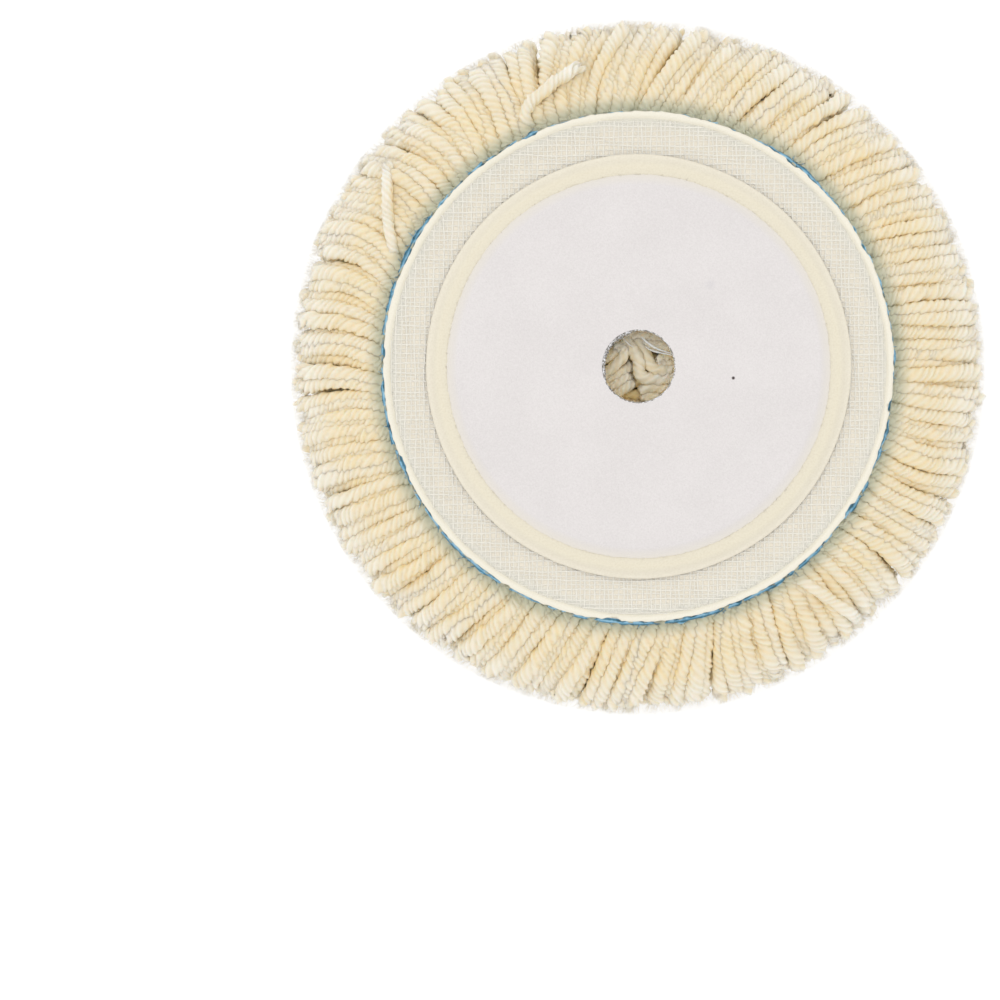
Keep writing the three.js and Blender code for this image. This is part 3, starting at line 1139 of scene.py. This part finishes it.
def add_film():
    inner = film_inner_edge(ANGLES)
    middle = (FILM_LOW + FILM_TOP) / 2
    reach = SCRIM_RADIUS - 0.3

    def ring(share, radius, below):
        if radius is None:
            radii = inner + (FILM_HOLE - inner) * share
            sag = 1 - share
            heights = middle - 3.4 * sag**1.4 - 0.5 * np.sin(9 * sag) * sag
            heights = np.where(inner > FILM_HOLE - 0.1, middle, heights)
        else:
            radii = np.full_like(ANGLES, radius)
            heights = np.full_like(ANGLES, middle + 0.3 * smooth((radius - 68) / 6))
        return polar(radii, ANGLES, heights - below)

    flat_radii = [16, 30, 45, 60, 66, 69, 71, 73, reach]
    over = [ring(share, None, -0.06) for share in np.linspace(0, 1, 12)]
    over += [ring(0, radius, -0.06) for radius in flat_radii]
    under = [ring(0, radius, 0.06) for radius in flat_radii[::-1]]
    under += [ring(share, None, 0.06) for share in np.linspace(1, 0, 12)]
    piece = turned_piece(
        "clear_film_sheet", np.array(over + under)[::-1], film_material("clear_film", 0.07)
    )
    bind(piece, "clear_film", "stiffener_film")


def add_film_folds():
    """The two bright creases where the loose film folds over itself in the hole: near opaque
    white, partly the folds' own whiteness and partly painted highlight.
    """
    rng = seeded(31)
    creases = [
        (0.36, [(0.9, 8.9, 33.4), (1.7, 8.1, 33.0), (3.1, 6.9, 32.4), (5.1, 5.6, 32.0),
                (7.4, 4.7, 32.2), (10.2, 3.9, 33.4)]),
        (0.3, [(2.0, 6.2, 31.0), (3.6, 5.0, 31.0), (5.6, 4.4, 31.2), (8.0, 3.9, 31.8),
               (10.4, 3.4, 33.2)]),
        (0.2, [(-4.8, 8.8, 33.0), (-4.0, 7.9, 31.8), (-2.8, 6.7, 30.9), (-1.2, 5.8, 30.6)]),
    ]
    parts = []
    for radius, corners in creases:
        lines = spline_points(np.array(corners), 25, 4, wide=False)[None]
        radii = radius * (0.35 + 0.65 * np.sin(math.pi * np.linspace(0, 1, 25)))[None]
        radii = radii * (1 + 0.12 * rng.standard_normal(radii.shape))
        parts.append(line_tubes(lines, np.array([[[0, 0, 1.0]]]), radii, np.ones((1, 1, 8))))
    # Near opaque white tubes: the folds' own whiteness and painted highlight.
    piece = add_mesh("clear_film_creases", *stacked(parts), film_material("film_fold_highlight", 0.8))
    bind(piece, "clear_film")


def add_adhesive():
    """The glue under the loop disc, with the lumpy bead it leaves in the hole."""
    rng = seeded(17)
    degrees = np.degrees(ANGLES) % 360
    sector = smooth((degrees - 92) / 20) * smooth((208 - degrees) / 20)
    amount = 0.26 + 1.1 * sector
    low, top = ADHESIVE_LOW, ADHESIVE_TOP
    outer = ADHESIVE_RADIUS - 1.2
    loop = [
        (outer, low, 0), (outer, top, 0), (30, top, 0),
        (11.9, top, 0), (11.5, top + 0.1, 0.2), (11.12, top + 1.7, 0.4),
        (11.0, top + 1.55, 0.8), (10.9, top + 1.1, 1), (10.85, top + 0.6, 1),
        (10.85, top + 0.1, 1), (10.9, low - 0.3, 0.8), (11.1, low - 0.5, 0.3),
        (11.4, low, 0), (30, low, 0),
    ]
    made = []
    for r, z, bead in loop:
        lumps = 0.5 + 0.5 * ripple(rng, (23, 41, 67, 89, 113), 0.9)
        radii = r - bead * amount * (0.25 + 0.55 * np.clip(lumps, 0, 1.6))
        heights = z + bead * amount * 0.25 * rng.standard_normal(len(ANGLES))
        heights = np.minimum(heights, LOOP_TOP + 0.02)
        made.append(polar(radii, ANGLES, heights))
    piece = turned_piece("adhesive_bead", np.array(made), adhesive_material())
    bind(piece, "adhesive", "loop_adhesive")


def add_loop_fuzz(loop):
    """The loop fabric's cut edges, as short loose fibres."""
    rng = seeded(41)
    parts = []
    for count, radius, out, reach in ((2600, LOOP_RADIUS, 1, 0.5), (1200, HOLE_RADIUS, -1, 0.35)):
        angle = rng.uniform(0, TURN, count)
        outward = polar(1, angle, 0)
        depth = rng.uniform(-0.8, 0.1, count)
        if out > 0:
            height = INTERFACE_TOP + rng.uniform(0.03, 0.2, count)
        else:
            height = LOOP_TOP - rng.uniform(0.05, 1.2, count)
        starts = outward * (radius + out * depth)[:, None]
        starts[:, 2] = height
        direction = out * outward + 0.55 * rng.standard_normal((count, 3))
        direction[:, 2] *= 0.3
        lengths = rng.uniform(0.3, 1.0, count) * reach
        parts.append(fibre_arrays(rng, starts, direction, lengths, 0.035, 0.1, 1.0))
    piece = arrays_mesh("loop_edge_fibres", joined(parts), loop.data.materials[0])
    bind(piece, "loop_fabric")


def add_frayed_tape(backing):
    """Loose ends of the backing's blue tapes at its cut edge."""
    rng = seeded(43)
    count = 260
    angle = rng.uniform(0, TURN, count)
    shows = around(angle, BACKING_SHOWS)
    outward = polar(1, angle, 0)
    along = rim_way(angle)
    starts = outward * (BACKING_RADIUS - 0.6 + 0.75 * shows)[:, None]
    starts[:, 2] = rng.uniform(BACKING_LOW + 0.1, BACKING_TOP, count)
    side = np.where(rng.random((count, 1)) < 0.5, -1, 1)
    direction = 0.5 * outward + side * along + 0.3 * rng.standard_normal((count, 3))
    lengths = rng.uniform(0.6, 2.2, count) * (0.4 + 0.6 * shows)
    arrays = fibre_arrays(rng, starts, direction, lengths, 0.16, 0.0, 1.0)
    piece = arrays_mesh("backing_loose_tapes", arrays, backing.data.materials[0])
    bind(piece, "woven_backing")


add_latex()
add_frayed_tape(add_backing())
add_scrim()
add_film()
add_film_folds()
add_interface()
add_adhesive()
add_loop_fuzz(add_loop())


# Floor, light and camera.


CAMERA_HEIGHT = 3.0
# The photograph's middle lies down and to the left of the pad's axis.
FRAME_MIDDLE = (-0.0416, -0.0401)


def add_stage():
    half = 4.0
    corners = [(-half, -half, 0), (half, -half, 0), (half, half, 0), (-half, half, 0)]
    mesh = bpy.data.meshes.new("floor")
    mesh.from_pydata(corners, [], [(0, 1, 2, 3)])
    mesh.materials.append(floor_material())
    add_object("floor", mesh)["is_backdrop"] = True

    world = bpy.data.worlds.new("studio")
    world.use_nodes = True
    background = world.node_tree.nodes["Background"]
    background.inputs["Color"].default_value = (1, 0.99, 0.975, 1)
    background.inputs["Strength"].default_value = 0.9
    bpy.context.scene.world = world

    lamp = bpy.data.lights.new("softbox", "AREA")
    lamp.shape = "DISK"
    lamp.size = 1.4
    lamp.energy = 6
    light = add_object("softbox", lamp)
    light.location = (-0.3, 0.35, 2.1)
    light.rotation_euler = (-light.location).to_track_quat("-Z", "Y").to_euler()


def add_camera():
    """Looks straight down. A long lens gives the photograph's flat view."""
    data = bpy.data.cameras.new("camera")
    data.lens = 360
    data.sensor_width = 36
    data.clip_end = 50
    camera = add_object("camera", data)
    camera.location = (*FRAME_MIDDLE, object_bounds()[1].z + CAMERA_HEIGHT)
    bpy.context.scene.camera = camera


add_stage()
add_camera()
bpy.context.scene.view_settings.view_transform = "Standard"
